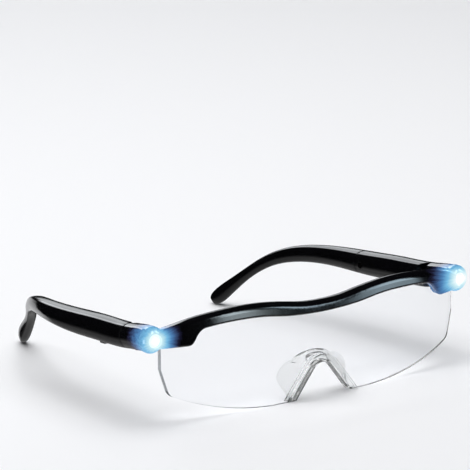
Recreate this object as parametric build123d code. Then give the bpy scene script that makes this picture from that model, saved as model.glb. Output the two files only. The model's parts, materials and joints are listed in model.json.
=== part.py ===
from build123d import *
import os
from math import hypot

os.makedirs("parts", exist_ok=True)

# The glasses stand as they do on a table, on the lower edge of the lens and on the two ear tips.
# +X runs across the face, +Y from the lens back to the ears, +Z up, and the table is at zero.
# They are drawn with the middle of the wrap line at the origin, and moved at the end so that
# the origin is under the middle of the whole object.

# Front as a whole
lamp_x = 73.1                # from the middle to each lamp axis
lamp_height = 32.6           # lamp axis above the table
wrap_centre_sag = 2.4        # how far the gentle part of the wrap falls back at the lamps
wrap_end_sag = 6.2           # what the tighter ends of the wrap add there
overrun = 30.0               # how far a cutter passes the piece that it cuts

# Brow bar
brow_top_height = 37.9       # top edge at the middle
brow_low_height = 33.5       # lower edge at the middle
brow_top_rise = 3.2          # rise of the top edge to its two crests
brow_low_rise = 2.6          # rise of the lower edge to its two crests
brow_end_height = 29.3       # lower edge of the deep ends, above the table
brow_step_slope = 0.25       # slope of the lower edge where the step down to the ends begins
brow_proud = 1.5             # front face in front of the wrap line, at the lower edge
brow_lean_share = 0.17       # how fast the front face leans back with height
brow_depth = 5.0
brow_crown_radius = 2.8      # round of the front face into the top
brow_edge_radius = 0.8

# Magnifier lens
lens_setback = 0.7           # front face behind the wrap line
lens_thickness = 2.0
lens_half_width = 69.8
lens_tongue = 2.6            # how far the lens reaches up into the groove of the brow bar
lens_fit = 0.05
lens_corner_radius = 4.5
nose_arch_height = 14.3
nose_arch_half_width = 13.4
nose_foot_flare = 1.9        # sideways run of the small flare at the foot of the arch

# Nose pad
pad_grip_out = 2.1           # width of the lips that grip the lens round the arch
pad_grip_in = 0.8            # wall inside the arch
pad_lip = 0.9                # lip in front of and behind the lens
pad_fit = 0.05
wing_wall = 1.2
wing_depth = 4.8             # how far the wings stand back behind the rear lip
wing_rise = 3.0
wing_spread = 3.7
wing_foot_rise = 0.8         # lower rear end of a wing above the foot of the grip
slot_width = 9.2             # open slot across the top, between grip and wings
slot_length = 1.8
slot_front = 0.8
slot_corner_radius = 0.8
pad_floor_gap = 0.4

# End block, from the lamp back to the hinge
pod_front = 7.2              # front of the pod behind the middle of the wrap line
pod_radius = 5.2
pod_length = 4.4
pod_front_radius = 2.4
pod_back_radius = 0.8
block_width = 9.4
block_depth = 9.7

# Section of block and arm: a flat top with crisp edges, bulging sides and a rounder bottom
top_width_share = 0.8
low_width_share = 0.72
crown_share = 0.035

# Arm
arm_root_x = 72.5            # middle of the arm where it starts
arm_root_y = 26.2
arm_root_height = 30.75
arm_width = 9.2
arm_depth = 9.75
arm_reach = 109.6            # from the root back to the ear tip
ear_turn_in = 25.3           # how far the ear tip turns in towards the head
ear_drop = 29.92             # how far the ear tip hangs below the root
tip_round = 0.95             # how far the rounded tip passes its last section
front_round = 0.15           # what the rounding of the lower front edge takes off

# Seams
seam_radius = 6.5            # the seams are domed like a cap
hinge_seam_y = 25.4          # crown of the seam at the hinge
hinge_gap = 0.35

# Hinge
pin_inset = 2.7              # pin axis, in from the middle of the arm
pin_y = 20.8
pin_radius = 0.8
pin_fit = 0.03
barrel_radius = 1.8
tongue_thickness = 3.0
tongue_lift = 0.3            # middle of the tongue above the middle of the arm
swing_gap = 0.35             # clearance round the tongue in its slot
relief_start = 2.8           # where the open wedge of the joint starts, outside the pin
relief_slope = 0.45
pin_end_recess = 0.6

# End cover under the hinge
cover_front_y = 14.7
cover_step_y = 18.6
cover_step_rise = 1.6
cover_screw_ys = (16.4, 20.8)
cover_screw_outset = 4.3     # screws outside the pin axis
screw_radius = 0.7
screw_head_radius = 1.25
screw_head_height = 0.9
screw_fit = 0.05
cover_screw_rise = 0.4       # tip of the cover screws above the middle of the arm
cover_seat_drop = 2.25       # underside of their heads below it

# Lamp
lamp_radius = 2.5
lamp_proud = 1.1             # dome in front of the pod
lamp_body = 4.0              # behind the pod front
emitter_radius = 1.2
emitter_length = 2.4
emitter_fit = 0.1
board_thickness = 0.8
lead_radius = 0.6
lead_bore_radius = 0.8
lead_drop = 0.5              # lead axis below the lamp axis

# Battery bay in each arm, measured along the arm from its root
bay_start = 5.2
bay_width = 5.6
bay_height = 6.8
cell_radius = 2.1
cell_length = 25.9
cell_lift = 1.15
cell_front_gap = 0.8         # room for the front contact
cell_back_gap = 1.5
contact_thickness = 0.3
contact_side = 3.6
contact_dimple_radius = 0.9
bay_board_thickness = 0.8
bay_board_front_gap = 2.8
bay_board_back_gap = 3.4
bay_fit = 0.05

# Slide switch under each arm
switch_along = 17.0          # middle of the slot, behind the arm root
switch_travel = 2.0
knob_length = 3.4
knob_width = 2.2
knob_proud = 0.7             # below the arm
knob_edge_radius = 0.4
foot_length = 6.2
foot_width = 3.8
foot_thickness = 0.8
slide_gap = 0.3

# Cover of the left arm's bay
bay_cover_height = 6.4
bay_cover_front_gap = 1.4    # behind the front of the bay
bay_cover_margin = 2.3       # from the bay to its screw, and from there to the cover's end
cover_fit = 0.1
bay_screw_length = 5.0

# Joint of the right ear piece
spigot_gap = 0.2             # behind the bay
ear_screw_setback = 1.7      # screw behind the spigot's end
ear_seam_setback = 5.2       # crown of the seam behind the screw
ear_seam_gap = 0.25
ear_screw_length = 5.0

# Corner rounds of a section as shares of its smaller side: both top corners, then both lower ones
corner_shares = (0.16, 0.16, 0.3, 0.3)
# Outline shares: how far out, as a share of the lamp distance, and how much of the rise
brow_top_shares = ((0, 0), (0.127, 0.13), (0.243, 0.53), (0.38, 0.9), (0.516, 1), (0.682, 0.75),
                   (0.81, 0.3), (0.92, -0.35), (1, -0.75))
brow_low_shares = ((0, 0), (0.127, 0.1), (0.243, 0.35), (0.38, 0.85), (0.516, 1), (0.662, 0.85),
                   (0.727, 0.64))
brow_step_shares = ((0.781, 0.48), (0.832, 0))
wrap_station_shares = (-1.12, -1, -0.85, -0.65, -0.35, 0, 0.35, 0.65, 0.85, 1, 1.12)
arch_top_shares = (0.34, 0.875)
arch_foot_share = 0.08
lens_bottom_shares = ((0.34, 0), (0.66, 0.0955), (0.957, 0.305))
lens_side_share = 0.645
# End block: along from pod to root, shift towards the root, swell of the section
end_block_shares = ((0.08, 0, 0.84), (0.26, 0.09, 0.98), (0.66, 0.54, 1))
# Arm: along, turned in, dropped, width, depth
arm_shares = ((0, 0, 0, 1, 1), (0.155, 0.032, 0.037, 1.05, 1.015), (0.292, 0.059, 0.071, 1.07, 0.975),
              (0.474, 0.111, 0.1, 0.91, 0.84), (0.602, 0.234, 0.128, 0.73, 0.735),
              (0.707, 0.402, 0.199, 0.59, 0.63), (0.782, 0.557, 0.316, 0.51, 0.52),
              (0.85, 0.737, 0.506, 0.465, 0.465), (0.905, 0.846, 0.685, 0.465, 0.535),
              (0.945, 0.903, 0.812, 0.49, 0.615), (0.975, 0.946, 0.91, 0.46, 0.61),
              (0.992, 0.978, 0.962, 0.35, 0.48), (1, 1, 0.985, 0.2, 0.28))
cross_edge_share = 0.9       # an edge that runs straighter back than this crosses the bar
# Rear arch of the wings: shoulder, flank and foot, each out and up
wing_shares = ((0.55, 0.82), (0.99, 0.42), (0.87, 0))
wing_top_share = 0.75        # depth of the wings at the top


def mirrored(points):
    return [(-x, z) for x, z in reversed(points) if x > 0] + list(points)


def wrap_y(x):
    share = x / lamp_x
    return wrap_centre_sag * share**2 + wrap_end_sag * share**4


def wrap_face(front, back):
    """The plan between two lines that follow the wrap."""
    lines = []
    for shift in (front, back):
        lines.append(Spline(*[(s * lamp_x, wrap_y(s * lamp_x) + shift) for s in wrap_station_shares]))
    ends = [Line(lines[0] @ side, lines[1] @ side) for side in (0, 1)]
    return make_face(lines + ends)


def brow_low_points():
    return [(share * lamp_x, brow_low_height + rise * brow_low_rise) for share, rise in brow_low_shares]


def brow_outline(grow=0.0):
    top = [(share * lamp_x, brow_top_height + rise * brow_top_rise) for share, rise in brow_top_shares]
    low = [(x, z + grow) for x, z in brow_low_points()]
    step_top = low[-1][1]
    end_low = brow_end_height + grow
    steps = [(share * lamp_x, end_low + rise * (step_top - end_low)) for share, rise in brow_step_shares]
    return top, low, steps


def elevation(edges):
    return Plane.XZ * make_face(edges)


def through(face):
    """A face of the front view run through the whole front."""
    return extrude(Pos(0, overrun, 0) * face, overrun + overrun)


def brow_face():
    top, low, steps = brow_outline()
    edges = [Spline(*mirrored(top)), Spline(*mirrored(low))]
    for side in (-1, 1):
        foot = (side * lamp_x, steps[-1][1])
        bend = [(side * x, z) for x, z in [low[-1]] + steps]
        edges.append(Spline(*bend, tangents=[(side, -brow_step_slope), (side, 0)]))
        edges.append(Line(bend[-1], foot))
        edges.append(Line(foot, (side * lamp_x, top[-1][1])))
    return elevation(edges)


def brow_body():
    """The bar between its leaning front face and its upright back, before its outline is cut."""
    top = brow_top_height + brow_top_rise + brow_depth
    back = brow_depth - brow_proud
    plans = []
    for height in (0, top):
        front = brow_lean_share * (height - brow_low_height) - brow_proud
        plans.append(Pos(0, 0, height) * wrap_face(front, back))
    return loft(plans, ruled=True)


def rims_of(bar, side):
    """Long edges of the bar: at the front of its top, or all the others."""
    found = []
    for edge in bar.edges():
        middle = edge @ 0.5
        upper = middle.Z > (brow_top_height + brow_low_height) / 2
        ahead = middle.Y - wrap_y(middle.X) < brow_depth / 2 - brow_proud
        inner = abs(middle.X) < lamp_x - lens_fit and abs((edge % 0.5).Y) < cross_edge_share
        if inner and edge.length > brow_depth and (upper and ahead) == (side == "crown"):
            found.append(edge)
    return found


def brow_bar():
    bar = through(brow_face()) & brow_body()
    bar = fillet(rims_of(bar, "crown"), brow_crown_radius)
    return fillet(rims_of(bar, "others"), brow_edge_radius)


def arch_path(grow):
    """Points of the nose arch, moved outwards by a given width: peak, shoulder, foot and base."""
    shoulder_x = arch_top_shares[0] * nose_arch_half_width
    shoulder_z = arch_top_shares[1] * nose_arch_height
    foot_z = arch_foot_share * nose_arch_height
    run = nose_arch_half_width - shoulder_x
    fall = shoulder_z - foot_z
    out_x = grow * fall / hypot(run, fall)
    out_z = grow * run / hypot(run, fall)
    return (nose_arch_height + grow, (shoulder_x + out_x, shoulder_z + out_z),
            (nose_arch_half_width + out_x, foot_z + out_z))


def lens_face(clearance):
    peak, shoulder, foot = arch_path(-clearance)
    top, low, steps = brow_outline(lens_tongue + clearance)
    bottom = [(share * lens_half_width, rise * brow_low_height) for share, rise in lens_bottom_shares]
    side_top = (lens_half_width, steps[-1][1])
    side_low = (lens_half_width, lens_side_share * side_top[1])
    heel = (nose_arch_half_width + nose_foot_flare, 0)
    edges = [ThreePointArc((-shoulder[0], shoulder[1]), (0, peak), shoulder), Spline(*mirrored(low))]
    for side in (-1, 1):
        def at(point):
            return (side * point[0], point[1])
        edges.append(Line(at(shoulder), at(foot)))
        edges.append(Line(at(foot), at(heel)))
        edges.append(Line(at(heel), at(bottom[0])))
        edges.append(ThreePointArc(at(bottom[0]), at(bottom[1]), at(bottom[2])))
        edges.append(Line(at(bottom[2]), at(side_low)))
        edges.append(Line(at(side_low), at(side_top)))
        edges.append(Line(at(side_top), at(steps[-1])))
        edges.append(Spline(at(steps[-1]), at(steps[0]), at(low[-1]),
                            tangents=[(-side, 0), (-side, brow_step_slope)]))
    face = make_face(edges)
    corners = [v for v in face.vertices() if abs(abs(v.X) - bottom[2][0]) < lens_fit]
    return Plane.XZ * fillet(corners, lens_corner_radius)


def lens_plate(clearance):
    plan = wrap_face(lens_setback - clearance, lens_setback + lens_thickness + clearance)
    return through(lens_face(clearance)) & extrude(plan, overrun + overrun)


def ring_section(centre, along, width, depth):
    """Nearly flat top and bottom, bulging sides and rounded corners, always drawn from the same corner."""
    high = (1 - crown_share - crown_share) * depth / 2
    top = top_width_share * width / 2
    low = low_width_share * width / 2
    corners = [Vector(-top, high), Vector(top, high), Vector(low, -high), Vector(-low, -high)]
    middles = [Vector(0, depth / 2), Vector(width / 2, 0), Vector(0, -depth / 2), Vector(-width / 2, 0)]
    rounds = [min(width, depth) * share for share in corner_shares]
    starts = [c + (m - c).normalized() * r for c, m, r in zip(corners, middles[-1:] + middles[:-1], rounds)]
    ends = [c + (m - c).normalized() * r for c, m, r in zip(corners, middles, rounds)]
    edges = []
    for i, corner in enumerate(corners):
        edges.append(Bezier(starts[i], corner, ends[i]))
        edges.append(ThreePointArc(ends[i], middles[i], starts[i + 1 - len(starts)]))
    return Plane(origin=centre, x_dir=Vector(0, 0, 1).cross(along), z_dir=along) * Face(Wire(edges))


def side_stations():
    """Middle, width and depth of each section from the pod's front to the ear tip, on the +X side."""
    stations = []
    for along, shift, swell in end_block_shares:
        middle = Vector(lamp_x + shift * (arm_root_x - lamp_x),
                        pod_front + along * (arm_root_y - pod_front),
                        lamp_height + shift * (arm_root_height - lamp_height))
        stations.append((middle, swell * block_width, swell * block_depth))
    for along, turned, dropped, wide, deep in arm_shares:
        middle = Vector(arm_root_x - turned * ear_turn_in, arm_root_y + along * arm_reach,
                        arm_root_height - dropped * ear_drop)
        stations.append((middle, wide * arm_width, deep * arm_depth))
    return stations


def side_form():
    """One flowing form, from the pod through the hinge to the ear tip, that the seams then divide."""
    stations = side_stations()
    sections = []
    for i, (middle, width, depth) in enumerate(stations):
        before = stations[max(i - 1, 0)][0]
        after = stations[min(i + 1, len(stations) - 1)][0]
        along = Vector(0, 1, 0) if middle.Y < arm_root_y else (after - before).normalized()
        sections.append(ring_section(middle, along, width, depth))
    return loft(sections)


def pod():
    """The round lump at the corner that the lamp sits in."""
    back = pod_front + pod_length
    corners = [(0, pod_front), (pod_radius, pod_front), (pod_radius, back), (0, back)]
    profile = make_face(Polyline(*corners, close=True))
    outer = profile.vertices().group_by(Axis.X)[-1]
    profile = fillet(outer.sort_by(Axis.Y)[0], pod_front_radius)
    outer = profile.vertices().group_by(Axis.Y)[-1]
    profile = fillet(outer.sort_by(Axis.X)[-1], pod_back_radius)
    return Pos(lamp_x, 0, lamp_height) * revolve(profile, Axis.Y)


def arm_frame():
    """Plane at the arm root: x towards the head, y up, z back along the straight part of the arm."""
    along, turned, dropped = arm_shares[2][:3]
    run = Vector(-turned * ear_turn_in, along * arm_reach, -dropped * ear_drop)
    return Plane(origin=(arm_root_x, arm_root_y, arm_root_height), x_dir=run.cross(Vector(0, 0, 1)) * -1,
                 z_dir=run)


def arm_box(x_span, y_span, z_span):
    size = [span[1] - span[0] for span in (x_span, y_span, z_span)]
    middle = [(span[1] + span[0]) / 2 for span in (x_span, y_span, z_span)]
    return arm_frame() * (Pos(*middle) * Box(*size))


def ahead_of_seam(crown, gap):
    """Everything in front of a domed seam, whose crown lies on the arm's middle line."""
    dome = Pos(0, 0, crown - seam_radius) * Sphere(seam_radius + gap)
    front = Pos(0, 0, crown - seam_radius - overrun) * Cylinder(overrun, overrun + overrun)
    return arm_frame() * (dome + front)


def hinge_crown():
    return hinge_seam_y - arm_root_y


def pin_x():
    return arm_root_x - pin_inset


def upright(x, y, low, high, radius):
    return Pos(x, y, (low + high) / 2) * Cylinder(radius, high - low)


def along_y(x, z, front, back, radius):
    return Pos(x, (front + back) / 2, z) * Rot(90, 0, 0) * Cylinder(radius, back - front)


def block(x_span, y_span, z_span):
    size = [span[1] - span[0] for span in (x_span, y_span, z_span)]
    middle = [(span[1] + span[0]) / 2 for span in (x_span, y_span, z_span)]
    return Pos(*middle) * Box(*size)


def tongue_span(gap):
    half = tongue_thickness / 2 + gap
    middle = arm_root_height + tongue_lift
    return (middle - half, middle + half)


def hinge_slot():
    """Room in the end block for the tongue, from straight back to folded in."""
    reach = barrel_radius + swing_gap
    span = tongue_span(swing_gap)
    slot = upright(pin_x(), pin_y, span[0], span[1], reach)
    slot += block((pin_x() - overrun, pin_x() + reach), (pin_y, pin_y + overrun), span)
    slot += block((pin_x() - overrun, pin_x()), (pin_y - reach, pin_y + overrun), span)
    return slot


def hinge_tongue():
    span = tongue_span(0)
    tongue = upright(pin_x(), pin_y, span[0], span[1], barrel_radius)
    sides = (pin_x() - barrel_radius, pin_x() + barrel_radius)
    tongue += block(sides, (pin_y, arm_root_y + bay_start), span)
    return tongue - upright(pin_x(), pin_y, span[0], span[1], pin_radius + pin_fit)


def hinge_relief():
    """The wedge that stays open on the inner side of the joint, so that the arm can swing in."""
    start_x = pin_x() + relief_start
    start_y = hinge_seam_y + hinge_gap
    inner_x = start_x - overrun
    points = [(start_x, start_y), (inner_x, start_y + overrun * relief_slope),
              (inner_x, start_y - overrun), (start_x, start_y - overrun)]
    return extrude(make_face(Polyline(*points, close=True)), overrun + overrun)


def cover_region():
    """The lower part of the end block that comes off as a cover."""
    parting = tongue_span(swing_gap)[0]
    back = cover_step_y + overrun
    points = [(cover_front_y, -overrun), (cover_front_y, parting + cover_step_rise),
              (cover_step_y, parting), (back, parting), (back, -overrun)]
    face = Plane.YZ * make_face(Polyline(*points, close=True))
    return extrude(face, lamp_x + overrun)


def cover_screws(fit):
    screws = Part()
    x = pin_x() + cover_screw_outset
    seat = arm_root_height - cover_seat_drop
    for y in cover_screw_ys:
        screws += upright(x, y, seat, arm_root_height + cover_screw_rise + fit, screw_radius + fit)
        bottom = 0 if fit else seat - screw_head_height
        screws += upright(x, y, bottom, seat, screw_head_radius + fit)
    return screws


def lamp_bore():
    back = pod_front + lamp_body + board_thickness
    pocket = along_y(lamp_x, lamp_height, 0, back, lamp_radius + screw_fit)
    channel = along_y(lamp_x, lamp_height - lead_drop, back, arm_root_y + overrun, lead_bore_radius)
    return pocket + channel


def end_block_whole(form):
    return (form & ahead_of_seam(hinge_crown(), 0)) - hinge_slot()


def pin_span():
    bottom = arm_root_height - arm_depth / 2 + pin_end_recess
    top = arm_root_height + arm_depth / 2 - pin_end_recess
    return bottom, top


def end_cover(form):
    cover = end_block_whole(form) & cover_region()
    pin_bore = upright(pin_x(), pin_y, 0, overrun + overrun, pin_radius + pin_fit)
    return cover - cover_screws(screw_fit) - pin_bore


def front_frame(form):
    frame_end = end_block_whole(form + pod()) - cover_region() - cover_screws(screw_fit) - lamp_bore()
    frame_end -= upright(pin_x(), pin_y, 0, pin_span()[1], pin_radius + pin_fit)
    keep_clear = cover_region() + hinge_slot() + lamp_bore()
    bar = brow_bar() - keep_clear - mirror(keep_clear, about=Plane.YZ)
    frame = bar + frame_end + mirror(frame_end, about=Plane.YZ)
    return frame - lens_plate(lens_fit)


def arch_edges(peak, shoulder, flank, foot):
    """Left to right along one arch: up the flank, over the top and down again."""
    def left(point):
        return (-point[0], point[1])
    rising = ThreePointArc(left(foot), left(flank), left(shoulder))
    over = ThreePointArc(left(shoulder), (0, peak), shoulder)
    return [rising, over, ThreePointArc(shoulder, flank, foot)]


def arch_band(outer, inner):
    outer_edges = arch_edges(*outer)
    inner_edges = arch_edges(*inner)
    ends = [Line(outer_edges[0] @ 0, inner_edges[0] @ 0), Line(outer_edges[2] @ 1, inner_edges[2] @ 1)]
    return make_face(outer_edges + inner_edges + ends)


def grip_arch(grow):
    """The arch of the lens moved outwards, with its flanks run down to the foot of the pad."""
    peak, shoulder, foot = arch_path(grow)
    run = (foot[0] - shoulder[0]) / (shoulder[1] - foot[1])
    base = (foot[0] + run * (foot[1] - pad_floor_gap), pad_floor_gap)
    flank = tuple((high + low + pad_fit) / 2 for high, low in zip(shoulder, base))
    return peak, shoulder, flank, base


def wing_arch(inset):
    """Rear edge of the wings, higher and wider than the arch of the lens."""
    peak = nose_arch_height + wing_rise
    half = nose_arch_half_width + wing_spread
    places = [(out * half, up * peak) for out, up in wing_shares]
    shoulder = (places[0][0] - inset / 2, places[0][1] - inset)
    flank = (places[1][0] - inset, places[1][1])
    foot = (places[2][0] - inset, pad_floor_gap + wing_foot_rise)
    return peak - inset, shoulder, flank, foot


def wing_trim(back):
    """Side view of the wings: low at the foot of the grip, deepest half way up."""
    peak = nose_arch_height + wing_rise
    rear = ThreePointArc((back, pad_floor_gap), (back + wing_depth, peak / 2),
                         (back + wing_top_share * wing_depth, peak + wing_wall))
    top = (back - wing_wall, peak + wing_wall)
    bottom = (back - wing_wall, pad_floor_gap)
    edges = [rear, Line(rear @ 1, top), Line(top, bottom), Line(bottom, rear @ 0)]
    return extrude(Plane.YZ * make_face(edges), overrun, both=True)


def nose_pad():
    front = lens_setback - pad_lip
    lens_back = lens_setback + lens_thickness
    back = lens_back + pad_lip + wrap_y(nose_arch_half_width + pad_grip_out)
    band = arch_band(grip_arch(pad_grip_out), grip_arch(-pad_grip_in))
    grip = Pos(0, back, 0) * (Plane.XZ * extrude(band, back - front))
    near = Pos(0, back, 0) * (Plane.XZ * arch_band(grip_arch(wing_wall / 2), grip_arch(-wing_wall / 2)))
    far = Pos(0, back + wing_depth, 0) * (Plane.XZ * arch_band(wing_arch(0), wing_arch(wing_wall)))
    wings = loft([near, far]) & wing_trim(back)
    slot = RectangleRounded(slot_width, slot_length, slot_corner_radius)
    middle = back + slot_front + slot_length / 2
    wings -= Pos(0, middle, nose_arch_height / 2) * extrude(slot, overrun)
    return (grip + wings) - lens_plate(pad_fit)


def lamp_window():
    front = pod_front - lamp_proud
    back = pod_front + lamp_body
    shoulder = pod_front + lamp_proud
    outline = [Line((0, back), (lamp_radius, back)), Line((lamp_radius, back), (lamp_radius, shoulder)),
               Spline((lamp_radius, shoulder), (0, front), tangents=[(0, -1), (-1, 0)]),
               Line((0, front), (0, back))]
    window = revolve(make_face(outline), Axis.Y)
    hollow = along_y(0, 0, back - emitter_length - emitter_fit, back, emitter_radius + emitter_fit)
    return Pos(lamp_x, 0, lamp_height) * (window - hollow)


def lamp_emitter():
    back = pod_front + lamp_body
    return along_y(lamp_x, lamp_height, back - emitter_length, back, emitter_radius)


def lamp_board():
    back = pod_front + lamp_body
    return along_y(lamp_x, lamp_height, back, back + board_thickness, lamp_radius)


def lamp_lead():
    start = pod_front + lamp_body + board_thickness
    return along_y(lamp_x, lamp_height - lead_drop, start, hinge_seam_y - lamp_proud, lead_radius)


def arm_whole(form):
    arm = form - ahead_of_seam(hinge_crown(), hinge_gap) - hinge_relief()
    return arm + (hinge_tongue() - arm_bay(bay_end()))


def cell_start():
    return bay_start + cell_front_gap


def bay_end():
    return cell_start() + cell_length + cell_back_gap


def arm_bay(end):
    half = bay_width / 2
    return arm_box((-half, half), (-bay_height / 2, bay_height / 2), (bay_start, end))


def bottom_at_switch():
    along = switch_along / arm_reach
    share = 1 - (1 - arm_shares[1][4]) * along / arm_shares[1][0]
    return -share * arm_depth / 2


def switch_slot():
    half = (knob_length + switch_travel) / 2 + slide_gap
    side = knob_width / 2 + slide_gap
    return arm_box((-side, side), (-overrun, 0), (switch_along - half, switch_along + half))


def foot_span():
    bottom = -bay_height / 2 + slide_gap
    return bottom, bottom + foot_thickness


def switch_slide():
    """Knob and foot of the slide switch, at the front end of its travel."""
    middle = switch_along - switch_travel / 2
    bottom = bottom_at_switch() - knob_proud
    low, high = foot_span()
    foot = arm_box((-foot_width / 2, foot_width / 2), (low, high),
                   (middle - foot_length / 2, middle + foot_length / 2))
    knob = arm_box((-knob_width / 2, knob_width / 2), (bottom, high),
                   (middle - knob_length / 2, middle + knob_length / 2))
    knob = fillet(knob.faces().sort_by(Axis.Z)[0].edges(), knob_edge_radius)
    return foot + knob


def bay_board():
    low = foot_span()[1] + slide_gap
    half = bay_width / 2 - bay_fit
    return arm_box((-half, half), (low, low + bay_board_thickness),
                   (bay_start + bay_board_front_gap, bay_end() - bay_board_back_gap))


def battery_cell():
    body = Pos(0, cell_lift, cell_start() + cell_length / 2) * Cylinder(cell_radius, cell_length)
    return arm_frame() * body


def contact(wall, cell_end):
    """A flat tab on the bay's end wall with a dimple that presses on the cell."""
    towards = 1 if cell_end > wall else -1
    tab_end = wall + towards * contact_thickness
    half = contact_side / 2
    tab = arm_box((-half, half), (cell_lift - half, cell_lift + half),
                  (min(wall, tab_end), max(wall, tab_end)))
    dimple = Cylinder(contact_dimple_radius, abs(cell_end - tab_end))
    return tab + arm_frame() * (Pos(0, cell_lift, (tab_end + cell_end) / 2) * dimple)


def arm_lead():
    start = hinge_seam_y + lamp_proud
    end = arm_root_y + bay_start
    lead = along_y(lamp_x, lamp_height - lead_drop, start, end, lead_radius)
    return lead - arm_bay(bay_end())


def cross_screw(along, length, surface, fit):
    """A screw from the inner face of the arm outwards, with its head sunk flush."""
    seat = surface - screw_head_height
    shank = Pos(seat - length / 2, 0, along) * Rot(0, 90, 0) * Cylinder(screw_radius + fit, length)
    head_top = surface + (overrun if fit else 0)
    head = Rot(0, 90, 0) * Cylinder(screw_head_radius + fit, head_top - seat)
    return arm_frame() * (shank + Pos((seat + head_top) / 2, 0, along) * head)


def inner_surface(along):
    share = arm_shares[2][3]
    return share * arm_width / 2 * (1 - (along / arm_reach - arm_shares[2][0]))


def lead_bore_in_arm():
    back = arm_root_y + bay_start + lead_bore_radius
    return along_y(lamp_x, lamp_height - lead_drop, hinge_seam_y, back, lead_bore_radius)


def cover_plate_box(fit):
    half = bay_cover_height / 2 + fit
    front = bay_start + bay_cover_front_gap
    back = bay_end() + bay_cover_margin + bay_cover_margin
    return arm_box((bay_width / 2 - fit, overrun), (-half, half), (front - fit, back + fit))


def left_arm_pieces(form):
    whole = arm_whole(form)
    along = bay_end() + bay_cover_margin
    screw = (along, bay_screw_length, inner_surface(along))
    arm = whole - arm_bay(bay_end()) - switch_slot() - cover_plate_box(cover_fit)
    arm -= cross_screw(*screw, screw_fit) + lead_bore_in_arm()
    cover = (whole & cover_plate_box(0)) - cross_screw(*screw, screw_fit)
    return {"left_arm": arm, "left_arm_cover": cover, "left_arm_cover_screw": cross_screw(*screw, 0)}


def right_arm_pieces(form):
    whole = arm_whole(form)
    spigot_start = bay_end() + spigot_gap
    along = spigot_start + ear_screw_setback
    seam = along + ear_seam_setback
    ahead = ahead_of_seam(seam, 0)
    screw = (along, ear_screw_length, inner_surface(along))
    housing = (whole & ahead) - arm_bay(seam + overrun) - switch_slot()
    housing -= cross_screw(*screw, screw_fit) + lead_bore_in_arm()
    half_x = bay_width / 2 - bay_fit
    half_y = bay_height / 2 - bay_fit
    spigot = arm_box((-half_x, half_x), (-half_y, half_y), (spigot_start, seam + ear_seam_gap))
    ear = (whole - ahead_of_seam(seam, ear_seam_gap)) + spigot - cross_screw(*screw, screw_fit)
    return {"right_arm_housing": housing, "right_ear_piece": ear, "right_ear_screw": cross_screw(*screw, 0)}


def hinge_pin():
    bottom, top = pin_span()
    return upright(pin_x(), pin_y, bottom, top, pin_radius)


def build():
    form = side_form()
    front_half = {
        "end_cover": end_cover(form), "end_cover_screws": cover_screws(0), "hinge_pin": hinge_pin(),
        "led_window": lamp_window(), "led_emitter": lamp_emitter(), "led_board": lamp_board(),
        "lamp_lead": lamp_lead()}
    arm_half = {
        "battery_cell": battery_cell(), "front_contact": contact(bay_start, cell_start()),
        "rear_contact": contact(bay_end(), cell_start() + cell_length), "switch_board": bay_board(),
        "arm_lead": arm_lead(), "switch_slide": switch_slide()}
    nodes = {"front_frame": front_frame(form), "magnifier_lens": lens_plate(0), "nose_pad": nose_pad()}
    for name, shape in {**front_half, **arm_half}.items():
        nodes["right_" + name] = shape
        nodes["left_" + name] = mirror(shape, about=Plane.YZ)
    nodes.update(right_arm_pieces(form))
    for name, shape in left_arm_pieces(form).items():
        nodes[name] = mirror(shape, about=Plane.YZ)
    return nodes


middle_y = (arm_root_y + arm_reach + tip_round - brow_proud + front_round) / 2
for node, shape in build().items():
    export_step(Pos(0, -middle_y, 0) * shape, f"parts/{node}.step")
    print(node, "solids", len(shape.solids()), "volume", round(shape.volume, 1))
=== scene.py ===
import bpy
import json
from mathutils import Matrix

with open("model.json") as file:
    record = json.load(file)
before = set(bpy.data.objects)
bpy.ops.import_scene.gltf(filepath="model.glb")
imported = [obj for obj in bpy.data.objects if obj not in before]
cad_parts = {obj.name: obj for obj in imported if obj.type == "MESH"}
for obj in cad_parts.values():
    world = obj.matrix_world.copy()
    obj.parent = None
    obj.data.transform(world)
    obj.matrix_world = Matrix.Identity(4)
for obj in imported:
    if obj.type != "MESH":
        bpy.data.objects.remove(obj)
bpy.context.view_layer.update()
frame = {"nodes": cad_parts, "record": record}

import json
import math

import bmesh
import bpy
from mathutils import Matrix, Vector

nodes = frame["nodes"]
scene = bpy.context.scene
scene.view_settings.view_transform = "Standard"
scene.view_settings.look = "None"


# the camera stands low at the front left, far back, as for a catalogue shot

cameraSet = {
    "azimuth": 36.409,        # degrees to the left of straight ahead
    "elevation": 13.996,
    "roll": -0.486,
    "distance": 1.5,
    "target": (0.003488, -0.007232, 0.050786),
    "focalPixels": 3837.6,    # for a picture of the width below
    "pictureWidth": 470.0,
    "sensor": 36.0,
    "clip": (0.1, 30.0),
}


def makeCamera(values):
    azimuth = math.radians(values["azimuth"])
    elevation = math.radians(values["elevation"])
    roll = math.radians(values["roll"])
    ahead = Vector((math.sin(azimuth) * math.cos(elevation),
                    math.cos(azimuth) * math.cos(elevation),
                    -math.sin(elevation)))
    level = Vector((math.cos(azimuth), -math.sin(azimuth), 0.0))
    upright = level.cross(ahead)
    right = math.cos(roll) * level + math.sin(roll) * upright
    up = -math.sin(roll) * level + math.cos(roll) * upright
    data = bpy.data.cameras.new("photoCamera")
    data.sensor_width = values["sensor"]
    data.lens = values["focalPixels"] * values["sensor"] / values["pictureWidth"]
    data.clip_start, data.clip_end = values["clip"]
    camera = bpy.data.objects.new("photoCamera", data)
    scene.collection.objects.link(camera)
    place = Vector(values["target"]) - values["distance"] * ahead
    turn = Matrix((right, up, -ahead)).transposed().to_4x4()
    camera.matrix_world = Matrix.Translation(place) @ turn
    scene.camera = camera


makeCamera(cameraSet)
print("camera in place")


# shader nodes; an input may be a value or another node's socket

def shaderTree(holder):
    holder.use_nodes = True
    tree = holder.node_tree
    tree.nodes.clear()
    return tree


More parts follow.
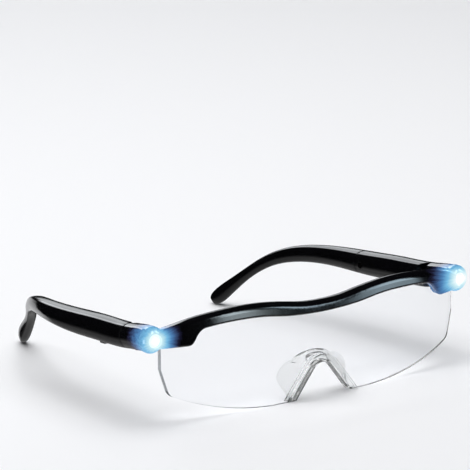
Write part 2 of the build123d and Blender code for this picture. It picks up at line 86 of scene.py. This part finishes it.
def addNode(tree, kind, inputs=None, **settings):
    node = tree.nodes.new(kind)
    for name, value in settings.items():
        setattr(node, name, value)
    for name, value in (inputs or {}).items():
        if isinstance(value, bpy.types.NodeSocket):
            tree.links.new(value, node.inputs[name])
        else:
            node.inputs[name].default_value = value
    return node


def reckon(tree, operation, *operands):
    return addNode(tree, "ShaderNodeMath", dict(enumerate(operands)), operation=operation).outputs[0]


def split(tree, vector):
    return addNode(tree, "ShaderNodeSeparateXYZ", {"Vector": vector}).outputs


def rescale(tree, value, source=(0.0, 1.0), target=(0.0, 1.0), interpolation="LINEAR"):
    inputs = {"Value": value, "From Min": source[0], "From Max": source[1],
              "To Min": target[0], "To Max": target[1]}
    return addNode(tree, "ShaderNodeMapRange", inputs, interpolation_type=interpolation).outputs[0]


def noise(tree, place, scale, detail, roughness=0.5):
    inputs = {"Vector": place, "Scale": scale, "Detail": detail, "Roughness": roughness}
    return addNode(tree, "ShaderNodeTexNoise", inputs).outputs["Fac"]


def bump(tree, height, strength, depth):
    inputs = {"Height": height, "Strength": strength, "Distance": depth}
    return addNode(tree, "ShaderNodeBump", inputs).outputs["Normal"]


def ramp(tree, fac, stops):
    node = addNode(tree, "ShaderNodeValToRGB", {"Fac": fac})
    elements = node.color_ramp.elements
    while len(elements) < len(stops):
        elements.new(0.5)
    for element, (place, colour) in zip(elements, stops):
        element.position = place
        element.color = (*colour, 1.0)
    return node.outputs["Color"]


def newMaterial(name):
    material = bpy.data.materials.new(name)
    tree = shaderTree(material)
    place = addNode(tree, "ShaderNodeTexCoord").outputs["Object"]
    return material, tree, place


def surface(tree, inputs):
    shader = addNode(tree, "ShaderNodeBsdfPrincipled", inputs)
    addNode(tree, "ShaderNodeOutputMaterial", {"Surface": shader.outputs[0]})


# floor

floorSet = {
    "half": 6.0,
    "colour": (0.86, 0.865, 0.885, 1.0),
    "roughness": 0.55,
    "specular": 0.25,
    "grainScale": 400.0,
    "grainDetail": 3.0,
    "grainStrength": 0.02,
    "grainDepth": 0.0002,
}


def makeFloor(values):
    mesh = bpy.data.meshes.new("studioFloor")
    shape = bmesh.new()
    bmesh.ops.create_grid(shape, x_segments=1, y_segments=1, size=values["half"])
    shape.to_mesh(mesh)
    shape.free()
    floor = bpy.data.objects.new("studioFloor", mesh)
    scene.collection.objects.link(floor)
    material, tree, place = newMaterial("paleTable")
    grain = noise(tree, place, values["grainScale"], values["grainDetail"])
    surface(tree, {"Base Color": values["colour"], "Roughness": values["roughness"],
                   "Specular IOR Level": values["specular"],
                   "Normal": bump(tree, grain, values["grainStrength"], values["grainDepth"])})
    mesh.materials.append(material)
    floor.visible_glossy = False      # in the gloss, the sky's table patches stand in for it


# what the gloss sees round about, in degrees: the azimuth goes from straight in front over the right,
# at 90, to 180 behind; a span to 400 has no end; soft is how far the edges fade, across and up

skyBase = (0.004, 0.004, 0.005)

skyPatches = {
    "lowSkyBehind": {"azimuth": (141, 154), "elevation": (6, 36), "soft": (2, 4),
                     "colour": (0.94, 0.97, 1.0), "strength": 1.6},
    "stripBehind": {"azimuth": (154, 175), "elevation": (14, 40), "soft": (2, 3),
                    "colour": (0.94, 0.97, 1.0), "strength": 3.4},
    "highStripBehind": {"azimuth": (157, 400), "elevation": (40, 51), "soft": (2, 2),
                        "colour": (0.94, 0.97, 1.0), "strength": 5.5},
    "tableBehind": {"azimuth": (150, 400), "elevation": (-28, -4), "soft": (3, 4),
                    "colour": (0.97, 0.98, 1.0), "strength": 0.9},
    "windowRight": {"azimuth": (39, 53), "elevation": (-1, 28), "soft": (2.5, 7),
                    "colour": (0.62, 0.80, 0.92), "strength": 5.5},
    "windowFront": {"azimuth": (20, 30), "elevation": (1, 36), "soft": (4, 7),
                    "colour": (0.70, 0.82, 0.88), "strength": 7.0},
    "stripLeft": {"azimuth": (-72, -38), "elevation": (-24, 4), "soft": (5, 4),
                  "colour": (0.92, 0.96, 1.0), "strength": 3.0},
    "tableBelow": {"azimuth": (-400, 400), "elevation": (-120, -34), "soft": (1, 15),
                   "colour": (1.0, 1.0, 1.0), "strength": 0.5},
}


def softSpan(tree, value, low, high, soft):
    rise = rescale(tree, value, (low - soft, low + soft), interpolation="SMOOTHSTEP")
    fall = rescale(tree, value, (high - soft, high + soft), (1.0, 0.0), "SMOOTHSTEP")
    return reckon(tree, "MULTIPLY", rise, fall)


def makeSky(patches):
    world = bpy.data.worlds.new("studioSky")
    scene.world = world
    tree = shaderTree(world)
    direction = split(tree, addNode(tree, "ShaderNodeTexCoord").outputs["Generated"])
    forward = reckon(tree, "MULTIPLY", direction["Y"], -1.0)
    azimuth = reckon(tree, "DEGREES", reckon(tree, "ARCTAN2", direction["X"], forward))
    elevation = reckon(tree, "DEGREES", reckon(tree, "ARCSINE", direction["Z"]))
    total = skyBase
    for values in patches.values():
        across = softSpan(tree, azimuth, *values["azimuth"], values["soft"][0])
        upward = softSpan(tree, elevation, *values["elevation"], values["soft"][1])
        share = reckon(tree, "MULTIPLY", reckon(tree, "MULTIPLY", across, upward), values["strength"])
        light = addNode(tree, "ShaderNodeVectorMath", {0: values["colour"], "Scale": share},
                        operation="SCALE").outputs[0]
        total = addNode(tree, "ShaderNodeVectorMath", {0: total, 1: light}, operation="ADD").outputs[0]
    background = addNode(tree, "ShaderNodeBackground", {"Color": total})
    addNode(tree, "ShaderNodeOutputWorld", {"Surface": background.outputs[0]})
    world.cycles_visibility.diffuse = False         # the softboxes light the table
    world.cycles_visibility.transmission = False


softboxes = {
    "overhead": {"place": (0.05, 0.15, 1.15), "size": (0.75, 0.75), "power": 5.8},
    "ceiling": {"place": (0.0, 0.3, 2.4), "size": (4.0, 4.0), "power": 76.0},
}


def makeSoftbox(name, values):
    data = bpy.data.lights.new(name, "AREA")
    data.shape = "RECTANGLE"
    data.size, data.size_y = values["size"]
    data.energy = values["power"]
    lamp = bpy.data.objects.new(name, data)
    scene.collection.objects.link(lamp)
    place = Vector(values["place"])
    look = (-place).to_track_quat("-Z", "Y")
    lamp.matrix_world = Matrix.Translation(place) @ look.to_matrix().to_4x4()
    lamp.visible_glossy = False
    return lamp


makeFloor(floorSet)
makeSky(skyPatches)
lamps = {name: makeSoftbox(name, values) for name, values in softboxes.items()}

# the clear lens only stops light of the smaller box, so its shadow stays thin
passing = bpy.data.collections.new("passesCeilingLight")
passing.objects.link(nodes["magnifier_lens"])
passing.collection_objects[0].light_linking.link_state = "EXCLUDE"
lamps["ceiling"].light_linking.blocker_collection = passing
print("floor and light in place")


# the lamps' glow, painted: light that the finishes round them give off as emission, in rays that fade
# with the distance; the frame plastic glows so, though it is no lamp

paintedGlowSet = {
    "centre": (0.0731, -0.0605, 0.0326),     # the right lamp; the left one mirrors it
    "reach": 0.0105,
    "rayCount": 7.0,
    "rayDetail": 3.0,
    "rayRoughness": 0.65,
    "rayDepth": 0.5,
    "depthShare": 0.8,
    "rightWiden": 0.42,                      # the right glow spreads further along the bar
    "strength": 1.0,
    "stops": [
        (0.0, (1.0, 1.0, 1.0)),
        (0.10, (1.0, 1.0, 1.0)),
        (0.20, (0.75, 0.92, 0.96)),
        (0.30, (0.51, 0.78, 0.87)),
        (0.44, (0.19, 0.50, 0.76)),
        (0.59, (0.076, 0.22, 0.46)),
        (0.74, (0.04, 0.08, 0.19)),
        (0.88, (0.010, 0.010, 0.030)),
        (1.0, (0.0, 0.0, 0.0)),
    ],
}


def paintedLampGlow(tree, place, values):
    point = split(tree, place)
    centre = values["centre"]
    onRight = reckon(tree, "GREATER_THAN", point["X"], 0.0)
    widen = reckon(tree, "MULTIPLY_ADD", onRight, values["rightWiden"] - 1.0, 1.0)
    outward = reckon(tree, "SUBTRACT", reckon(tree, "ABSOLUTE", point["X"]), centre[0])
    across = reckon(tree, "MULTIPLY", outward, widen)
    behind = reckon(tree, "SUBTRACT", point["Y"], centre[1])
    depth = reckon(tree, "MULTIPLY", behind, values["depthShare"])
    height = reckon(tree, "SUBTRACT", point["Z"], centre[2])
    offset = addNode(tree, "ShaderNodeCombineXYZ", {"X": across, "Y": depth, "Z": height}).outputs[0]
    unit = addNode(tree, "ShaderNodeVectorMath", {0: offset}, operation="NORMALIZE").outputs[0]
    rays = noise(tree, unit, values["rayCount"], values["rayDetail"], values["rayRoughness"])
    away = addNode(tree, "ShaderNodeVectorMath", {0: offset}, operation="LENGTH").outputs["Value"]
    share = reckon(tree, "DIVIDE", away, values["reach"])
    stretch = reckon(tree, "MULTIPLY_ADD", rays, values["rayDepth"], 1.0 - values["rayDepth"] / 2)
    return ramp(tree, reckon(tree, "DIVIDE", share, stretch), values["stops"])


def paintedGlowInputs(tree, place, values):
    return {"Emission Color": paintedLampGlow(tree, place, values), "Emission Strength": values["strength"]}


# glossy black mouldings

blackSet = {
    "colour": (0.0022, 0.0022, 0.0028),
    "wornLift": 1.5,
    "toneSpan": (0.3, 0.75),
    "roughness": (0.08, 0.14),
    "wearScale": 120.0,
    "wearDetail": 5.0,
    "wearRoughness": 0.6,
    "wearSpan": (0.35, 0.7),
    "peelScale": 900.0,
    "peelDetail": 2.0,
    "peelStrength": 0.35,
    "peelDepth": 0.000012,
    "frameIndex": 1.8,
    "armIndex": 1.5,
}


def blackPlastic(name, values, index, glow=None):
    material, tree, place = newMaterial(name)
    peel = noise(tree, place, values["peelScale"], values["peelDetail"])
    wear = noise(tree, place, values["wearScale"], values["wearDetail"], values["wearRoughness"])
    worn = tuple(values["wornLift"] * c for c in values["colour"])
    low, high = values["toneSpan"]
    inputs = {"Base Color": ramp(tree, wear, [(low, values["colour"]), (high, worn)]),
              "Roughness": rescale(tree, wear, values["wearSpan"], values["roughness"]),
              "IOR": index,
              "Normal": bump(tree, peel, values["peelStrength"], values["peelDepth"])}
    # painted glow: the lamps' halo and rays, given off by this finish as emission
    if glow:
        inputs.update(paintedGlowInputs(tree, place, glow))
    surface(tree, inputs)
    return material


# clear mouldings; each has its own mask that picks out the edges, and these are tinted a darker grey
# there as painted shade

clearSet = {
    "lens": {"colour": (0.985, 0.99, 1.0), "rimShadeColour": (0.42, 0.44, 0.47), "roughness": (0.0, 0.25),
             "ior": 1.49, "clear": 1.0, "specular": 0.25, "mottle": 0.000001, "maskSpan": (0.45, 0.6)},
    "nosePad": {"colour": (0.94, 0.945, 0.94), "rimShadeColour": (0.86, 0.87, 0.86), "roughness": (0.08, 0.14),
                "ior": 1.30, "clear": 0.97, "specular": 0.5, "mottle": 0.00003, "maskSpan": (0.35, 0.9)},
    "window": {"colour": (0.12, 0.16, 0.2), "rimShadeColour": (0.08, 0.1, 0.14), "roughness": (0.3, 0.32),
               "ior": 1.5, "clear": 0.25, "specular": 0.5, "mottle": 0.000001, "maskSpan": (0.5, 1.0)},
}

hazeAndRimShadeSet = {
    "scale": 260.0,
    "detail": 4.0,
    "share": 0.04,
    "strength": 0.3,
    "toneSpan": (0.03, 0.95),
    "sideLimit": 0.25,
    "softBlend": 0.35,
}


def rimOfPlate(tree):
    # the cut edge of a plate that stands up: it faces down, up or to the sides; the lens is painted
    # darker there as shade
    facing = split(tree, addNode(tree, "ShaderNodeTexCoord").outputs["Normal"])
    upright = reckon(tree, "ABSOLUTE", facing["Z"])
    sideways = reckon(tree, "SUBTRACT", reckon(tree, "ABSOLUTE", facing["X"]), hazeAndRimShadeSet["sideLimit"])
    return reckon(tree, "MAXIMUM", upright, sideways)


# the outline as seen, by the facing weight; the nose pad and lamp window are painted darker there as
# shade
def rimOfSoftPiece(tree):
    return addNode(tree, "ShaderNodeLayerWeight", {"Blend": hazeAndRimShadeSet["softBlend"]}).outputs["Facing"]


def clearPlastic(name, values, rimShadeMask, glow=None):
    material, tree, place = newMaterial(name)
    haze = noise(tree, place, hazeAndRimShadeSet["scale"], hazeAndRimShadeSet["detail"])
    mask = rescale(tree, rimShadeMask(tree), values["maskSpan"])
    mottleAndRimShade = reckon(tree, "MULTIPLY_ADD", haze, hazeAndRimShadeSet["share"], mask)
    low, high = hazeAndRimShadeSet["toneSpan"]
    # painted shade: the edges are tinted toward the darker edge colour; the haze alone is tone that
    # differs at random
    inputs = {"Base Color": ramp(tree, mottleAndRimShade, [(low, values["colour"]), (high, values["rimShadeColour"])]),
              "Roughness": rescale(tree, mottleAndRimShade, target=values["roughness"]),
              "IOR": values["ior"],
              "Specular IOR Level": values["specular"],
              "Transmission Weight": values["clear"],
              "Normal": bump(tree, haze, hazeAndRimShadeSet["strength"], values["mottle"])}
    # painted glow: the lamps' halo and rays, given off by this finish as emission
    if glow:
        inputs.update(paintedGlowInputs(tree, place, glow))
    surface(tree, inputs)
    return material


# the small pieces: metal, plain plastic and the lit lamp

metalSet = {
    "screwBlackened": {"colour": (0.02, 0.02, 0.022), "roughness": 0.45},
    "pinSteel": {"colour": (0.55, 0.55, 0.57), "roughness": 0.22},
    "cellCase": {"colour": (0.6, 0.6, 0.62), "roughness": 0.28},
    "contactBrass": {"colour": (0.72, 0.55, 0.26), "roughness": 0.3},
}

plasticSet = {
    "switchPlastic": {"colour": (0.02, 0.02, 0.022), "roughness": 0.45},
    "boardGreen": {"colour": (0.02, 0.16, 0.07), "roughness": 0.35},
    "leadRed": {"colour": (0.5, 0.03, 0.03), "roughness": 0.4},
}

grainSet = {
    "detail": 4.0,
    "toneSpan": (0.3, 0.7),
    "metalScale": 500.0,
    "metalDark": 0.7,
    "metalSpread": (0.7, 1.3),
    "plasticScale": 700.0,
    "plasticDark": 0.8,
    "plasticStrength": 0.3,
    "plasticDepth": 0.00003,
}

emitterSet = {
    "base": (0.9, 0.9, 0.9, 1.0),
    "warm": (1.0, 0.97, 0.9),
    "cool": (0.95, 0.98, 1.0),
    "strength": 1.5,
    "scale": 900.0,
    "detail": 2.0,
}


def darkToFull(tree, grain, colour, dark):
    low, high = grainSet["toneSpan"]
    return ramp(tree, grain, [(low, tuple(dark * c for c in colour)), (high, colour)])


def plainMetal(name, values):
    material, tree, place = newMaterial(name)
    grain = noise(tree, place, grainSet["metalScale"], grainSet["detail"])
    spread = [share * values["roughness"] for share in grainSet["metalSpread"]]
    surface(tree, {"Base Color": darkToFull(tree, grain, values["colour"], grainSet["metalDark"]),
                   "Roughness": rescale(tree, grain, target=spread), "Metallic": 1.0})
    return material


def softPlastic(name, values):
    material, tree, place = newMaterial(name)
    grain = noise(tree, place, grainSet["plasticScale"], grainSet["detail"])
    surface(tree, {"Base Color": darkToFull(tree, grain, values["colour"], grainSet["plasticDark"]),
                   "Roughness": values["roughness"],
                   "Normal": bump(tree, grain, grainSet["plasticStrength"], grainSet["plasticDepth"])})
    return material


def litEmitter(name, values):
    material, tree, place = newMaterial(name)
    grain = noise(tree, place, values["scale"], values["detail"])
    low, high = grainSet["toneSpan"]
    surface(tree, {"Base Color": values["base"],
                   "Emission Color": ramp(tree, grain, [(low, values["warm"]), (high, values["cool"])]),
                   "Emission Strength": values["strength"]})
    return material


metals = {name: plainMetal(name, values) for name, values in metalSet.items()}
plastics = {name: softPlastic(name, values) for name, values in plasticSet.items()}
finishes = {
    # the frame plastic and the lamp window carry the painted glow of the lamps
    "black_frame_plastic": blackPlastic("framePlastic", blackSet, blackSet["frameIndex"], paintedGlowSet),
    "black_arm_plastic": blackPlastic("armPlastic", blackSet, blackSet["armIndex"]),
    "clear_lens": clearPlastic("lensClear", clearSet["lens"], rimOfPlate),
    "clear_nose_pad": clearPlastic("padClear", clearSet["nosePad"], rimOfSoftPiece),
    "switch_plastic": plastics["switchPlastic"],
    "screw_steel": metals["screwBlackened"],
    "pin_steel": metals["pinSteel"],
    "lamp_window_clear": clearPlastic("windowClear", clearSet["window"], rimOfSoftPiece, paintedGlowSet),
    "lamp_emitter": litEmitter("lampLit", emitterSet),
    "circuit_board": plastics["boardGreen"],
    "lead_insulation": plastics["leadRed"],
    "cell_case": metals["cellCase"],
    "contact_brass": metals["contactBrass"],
}

for part in frame["record"]["subparts"]:
    piece = nodes[part["node"]]
    piece.data.materials.clear()
    piece.data.materials.append(finishes[part["material_slot"]])
print("finishes on", len(nodes), "pieces")


# edges of the arms, lightly broken so that the seams catch the light

seamSet = {
    "pieces": ("left_arm", "right_arm_housing", "right_ear_piece"),
    "merge": 0.000002,
    "width": 0.0002,
    "segments": 2,
    "angle": 32.0,
}

for name in seamSet["pieces"]:
    weld = nodes[name].modifiers.new("joined", "WELD")
    weld.merge_threshold = seamSet["merge"]
    brokenEdge = nodes[name].modifiers.new("brokenEdges", "BEVEL")
    brokenEdge.width = seamSet["width"]
    brokenEdge.segments = seamSet["segments"]
    brokenEdge.limit_method = "ANGLE"
    brokenEdge.angle_limit = math.radians(seamSet["angle"])
    brokenEdge.use_clamp_overlap = False
print("edges broken on", len(seamSet["pieces"]), "pieces")
